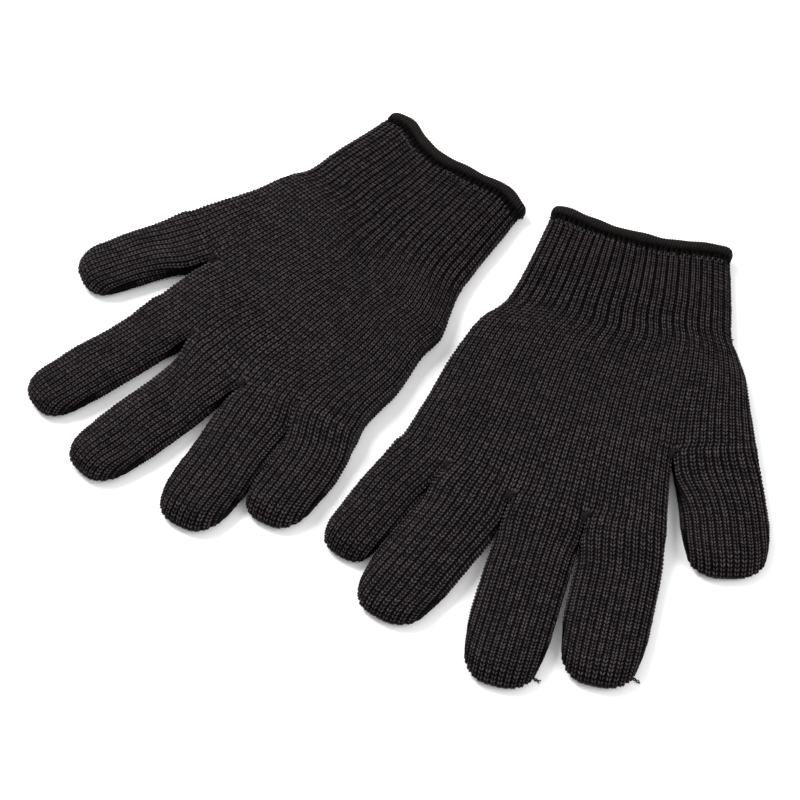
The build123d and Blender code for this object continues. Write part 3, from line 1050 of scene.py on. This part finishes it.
def rides(piece, body, slot, *nodes):
    """The piece moves with one body, and stands for the CAD objects named."""
    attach(piece, body)
    if nodes:
        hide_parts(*nodes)


def bends(glove, piece, first, second, start, end, slot, *nodes):
    """Bakes the piece's place into its mesh, and hides the CAD objects named."""
    height = middle_height(FINGER_THICK)
    place_at(glove, start[0], start[1], height)
    place_at(glove, end[0], end[1], height)
    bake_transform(piece)
    if nodes:
        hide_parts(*nodes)


def build_finger(glove, finger):
    """The lengths of a finger or thumb, cut a little past each joint."""
    cloth, stops, stations, root, ahead = finger_cloth(glove, finger)
    labels = ["base", "tip"] if finger == "thumb" else ["base", "centre", "tip"]
    prefix = glove.name + "_" + ("thumb" if finger == "thumb" else finger + "_finger")
    ends = stops[1:] + [stations[-1]]
    previous = "hand"
    first = 0
    for number, label in enumerate(labels):
        gap = ends[number] - stops[number]
        cut = stops[number] + min(CUT_PAST, gap * CUT_SHARE)
        last_piece = number == len(labels) - 1
        whole = stations[::ROWS_PER_COURSE]
        nearest = int(np.argmin(np.abs(whole - cut))) * ROWS_PER_COURSE
        last = len(stations) - 1 if last_piece else nearest
        cut = stations[last]
        shell = Shell(glove)
        rims = (everywhere, None if last_piece else everywhere)
        shell.cloth(cloth, first, last, rims, tip=last_piece)
        piece = shell.make(f"{prefix}_{label}_knit", knit_material)
        part = f"{finger}_{label}_part"
        begin = root + ahead * (stops[number] + BEND_FROM)
        tip_bend = stops[number] + min(TIP_BEND_PAST, gap * TIP_BEND_SHARE)
        finish = root + ahead * (tip_bend if last_piece else cut - BEND_BEFORE_CUT)
        bends(glove, piece, previous, part, begin, finish, "glove_knit", f"{prefix}_{label}")
        previous = part
        first = last


def build_glove(name):
    """Every piece of one glove."""
    glove = Glove(name)
    body, wrist_row = body_cloth(glove)
    hand = hand_cloth(glove)
    last_row = len(body.course) - 1

    def on_thumb(wale):
        """The test of a rim that is closed only along the thumb's wales."""
        return wale >= HAND_WALES - TINY

    palm = Shell(glove)
    palm.cloth(body, wrist_row, last_row, (everywhere, on_thumb))
    palm.cloth(hand, 0, len(hand.course) - 1, (None, everywhere))
    rides(palm.make(name + "_palm_knit", knit_material), name + "_hand", "glove_knit", name + "_palm")

    cuff = Shell(glove)
    cuff.cloth(body, 0, wrist_row, (everywhere, everywhere))
    cuff_piece = cuff.make(name + "_cuff_knit", knit_material)
    bends(glove, cuff_piece, "hand", "cuff_part", (0, 54.0), (0, 41.0), "cuff_knit", name + "_cuff")

    hem, sewn, bands = hem_shells(glove, body, hem_material, thread_material, elastic_material)
    cuff_part = name + "_cuff_part"
    rides(hem, cuff_part, "hem_yarn", name + "_hem")
    rides(sewn, cuff_part, "stitching_yarn", name + "_hem_stitching")
    rides(bands, cuff_part, "elastic_yarn", name + "_cuff_elastic")
    knots = knot_shell(glove, name + "_crotch_knots", knot_material)
    rides(knots, name + "_hand", "stitching_yarn", name + "_crotch_stitches")

    for finger in FINGER_NAMES + ["thumb"]:
        build_finger(glove, finger)
    build_tails(glove)


def build_tails(glove):
    """The loose yarn ends. Each starts inside the cloth, behind its CAD stand-in."""
    for node in sorted(frame["nodes"]):
        if not node.startswith(glove.name + "_") or not node.endswith("_yarn_end"):
            continue
        low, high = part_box(node)
        part = node[len(glove.name) + 1:-len("_yarn_end")]
        points = glove.node_points(part + "_yarn_end")
        spread = points.max(axis=0) - points.min(axis=0)
        outward = 1.0 if points[:, 0].mean() > points_centre(glove, part) else -1.0
        near = points[:, 0].min() if outward > 0 else points[:, 0].max()
        length = float(np.hypot(*spread))
        along = float(points[:, 1].mean()) - 0.5 - 0.2 * spread[1]
        start = (near - outward * TAIL_BACK, along, (low.z + high.z) / 2 / MM)
        shell = Shell(glove)
        yarn_tail(shell, start, (outward, 0.25, 0), length + TAIL_LONGER, glove.seed + len(node))
        tail = shell.make(node.replace("_yarn_end", "_loose_yarn"), tail_material)
        body = "cuff_part" if part in ("hem", "wrist") else part.replace("_finger", "") + "_tip_part"
        rides(tail, body_name(glove, body), "loose_yarn", node)


def points_centre(glove, part):
    """How far across the glove the middle of the part that holds a loose end is."""
    node = {"hem": "hem", "wrist": "cuff"}.get(part, part + "_tip")
    return float(glove.node_points(node)[:, 0].mean())


for glove_name in GLOVES:
    build_glove(glove_name)

# Floor, lights and background.
FLOOR_HALF = 3.0
floor_mesh = bpy.data.meshes.new("floor")
floor_mesh.from_pydata(
    [(-FLOOR_HALF, -FLOOR_HALF, 0), (FLOOR_HALF, -FLOOR_HALF, 0), (FLOOR_HALF, FLOOR_HALF, 0),
     (-FLOOR_HALF, FLOOR_HALF, 0)],
    [],
    [(0, 1, 2, 3)],
)
floor = bpy.data.objects.new("floor", floor_mesh)
bpy.context.scene.collection.objects.link(floor)
paper = bpy.data.materials.new("paper")
paper.use_nodes = True
paper_shader = paper.node_tree.nodes["Principled BSDF"]
paper_shader.inputs["Base Color"].default_value = (0.86, 0.86, 0.86, 1)
paper_shader.inputs["Roughness"].default_value = 0.9
floor_mesh.materials.append(paper)


def soft_light(name, place, aim, size, power):
    """A round lamp that faces the aim."""
    data = bpy.data.lights.new(name, "AREA")
    data.shape = "DISK"
    data.size = size
    data.energy = power
    lamp = bpy.data.objects.new(name, data)
    lamp.location = place
    lamp.rotation_euler = (Vector(aim) - Vector(place)).to_track_quat("-Z", "Y").to_euler()
    bpy.context.scene.collection.objects.link(lamp)


soft_light("key", (-0.9, 0.9, 1.5), (0, 0, 0), 0.9, 42.0)
soft_light("fill", (1.1, -0.6, 1.3), (0, 0, 0), 1.2, 15.0)
world = bpy.data.worlds.new("studio")
world.use_nodes = True
world.node_tree.nodes["Background"].inputs["Color"].default_value = (1.0, 1.0, 1.0, 1)
world.node_tree.nodes["Background"].inputs["Strength"].default_value = 0.95
bpy.context.scene.world = world
bpy.context.scene.view_settings.view_transform = "Standard"
